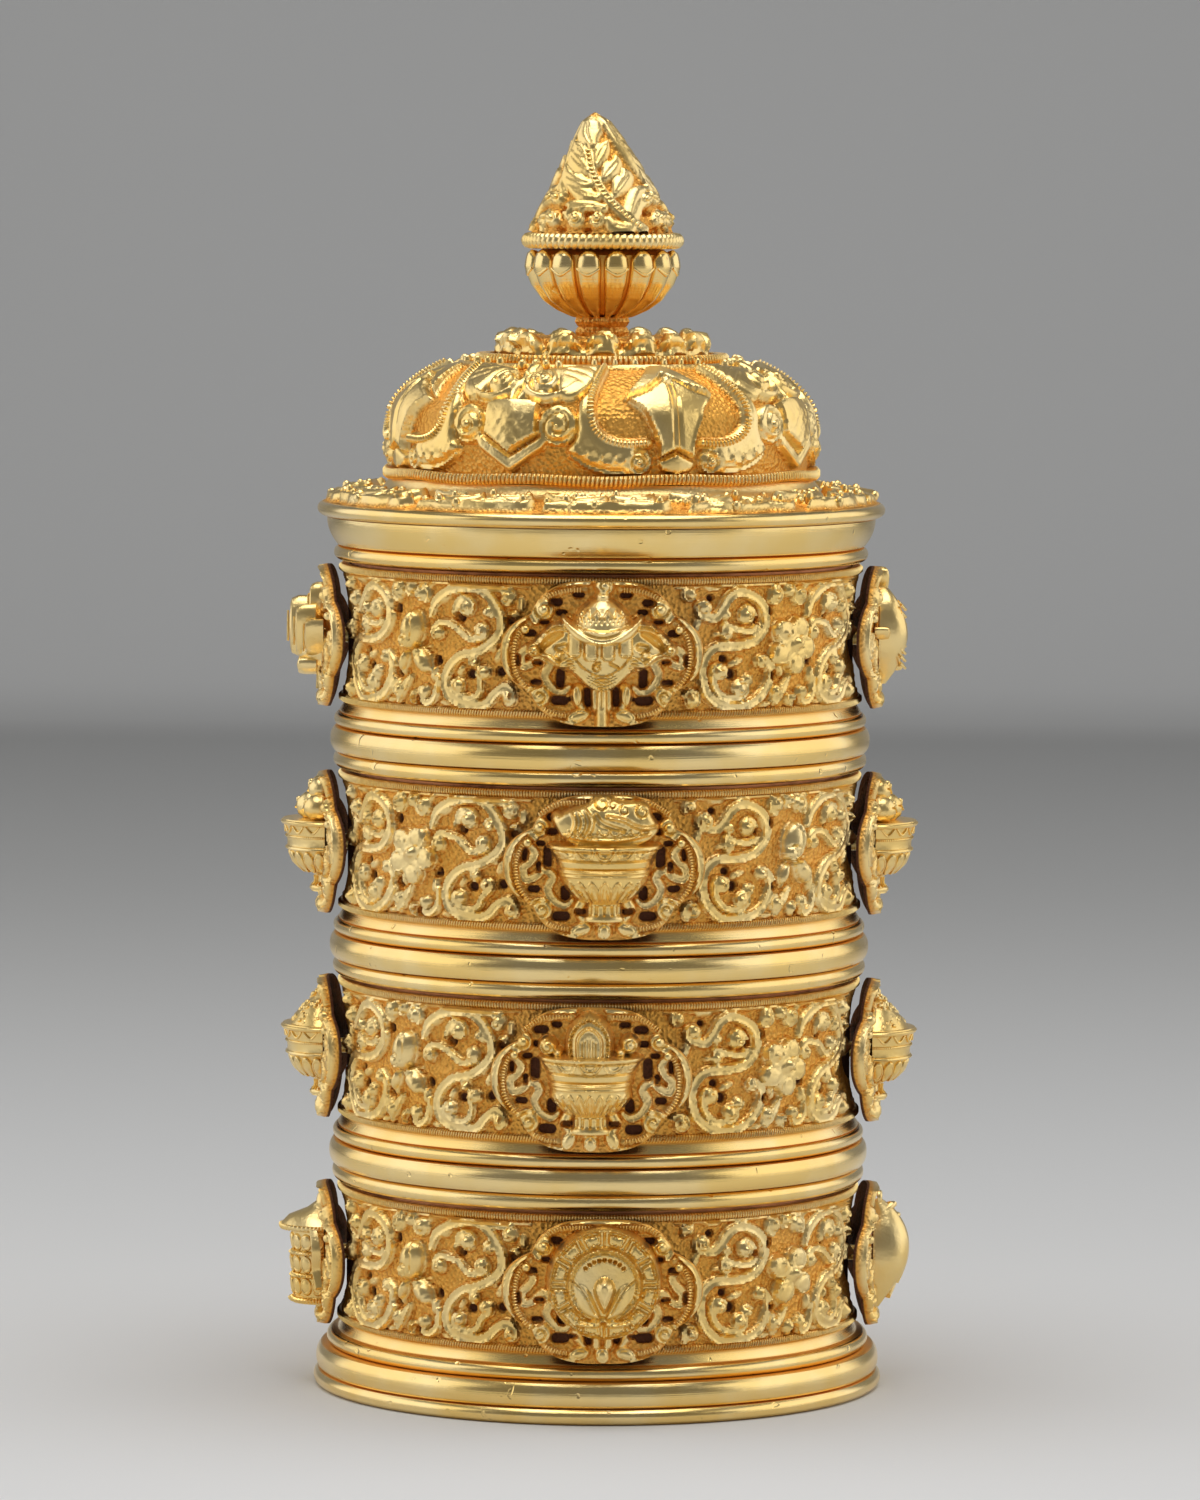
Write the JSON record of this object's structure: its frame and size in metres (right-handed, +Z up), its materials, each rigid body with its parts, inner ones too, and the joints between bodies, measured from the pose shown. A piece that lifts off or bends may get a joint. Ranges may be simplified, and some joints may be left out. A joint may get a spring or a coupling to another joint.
{
  "type": "rice offering pot",
  "caption": "Gilded copper offering pot of stacked round tiers with scroll bands and riveted medallions under a domed lid with a bud finial.",
  "frame": {"origin": "centre of the base on the surface that the pot stands on", "axes": "+Z up through the finial, -Y towards the front medallions"},
  "size_m": [0.1, 0.1001, 0.2],
  "materials": {
    "gilding": "fire gilded copper, burnished on the mouldings and matt orange in the recesses",
    "bare_copper": "copper left plain inside the pot, darkened with age"
  },
  "bodies": {
    "tier_1": {"tier_1_floor_pan": "bare_copper", "tier_1_foot_moulding": "gilding", "tier_1_lower_milled_wire": "gilding", "tier_1_medallion_back": "gilding", "tier_1_medallion_front": "gilding", "tier_1_medallion_left": "gilding", "tier_1_medallion_right": "gilding", "tier_1_scroll_band": "gilding", "tier_1_seat_collar": "bare_copper", "tier_1_upper_milled_wire": "gilding", "tier_1_wall": "bare_copper"},
    "tier_2": {"tier_2_foot_moulding": "gilding", "tier_2_lower_milled_wire": "gilding", "tier_2_medallion_back": "gilding", "tier_2_medallion_front": "gilding", "tier_2_medallion_left": "gilding", "tier_2_medallion_right": "gilding", "tier_2_scroll_band": "gilding", "tier_2_seat_collar": "bare_copper", "tier_2_upper_milled_wire": "gilding", "tier_2_wall": "bare_copper"},
    "tier_3": {"tier_3_foot_moulding": "gilding", "tier_3_lower_milled_wire": "gilding", "tier_3_medallion_back": "gilding", "tier_3_medallion_front": "gilding", "tier_3_medallion_left": "gilding", "tier_3_medallion_right": "gilding", "tier_3_scroll_band": "gilding", "tier_3_seat_collar": "bare_copper", "tier_3_upper_milled_wire": "gilding", "tier_3_wall": "bare_copper"},
    "tier_4": {"tier_4_foot_moulding": "gilding", "tier_4_lower_milled_wire": "gilding", "tier_4_medallion_back": "gilding", "tier_4_medallion_front": "gilding", "tier_4_medallion_left": "gilding", "tier_4_medallion_right": "gilding", "tier_4_scroll_band": "gilding", "tier_4_seat_collar": "bare_copper", "tier_4_upper_milled_wire": "gilding", "tier_4_wall": "bare_copper"},
    "lid": {"finial_bud": "gilding", "finial_cup": "gilding", "finial_neck": "gilding", "finial_nut": "bare_copper", "finial_rod": "bare_copper", "finial_rope_ring": "gilding", "finial_washer": "bare_copper", "lid_dome": "gilding", "lid_edge_moulding": "gilding", "lid_lower_milled_wire": "gilding", "lid_shoulder": "gilding", "lid_upper_milled_wire": "gilding", "lotus_crown": "gilding"}
  },
  "joints": [
    {"name": "tier_2_lift", "type": "slide", "parent": "tier_1", "child": "tier_2", "axis": [0, 0, 1], "range_m": [0, 0.04]},
    {"name": "tier_3_lift", "type": "slide", "parent": "tier_2", "child": "tier_3", "axis": [0, 0, 1], "range_m": [0, 0.04]},
    {"name": "tier_4_lift", "type": "slide", "parent": "tier_3", "child": "tier_4", "axis": [0, 0, 1], "range_m": [0, 0.04]},
    {"name": "lid_lift", "type": "slide", "parent": "tier_4", "child": "lid", "axis": [0, 0, 1], "range_m": [0, 0.08]}
  ]
}
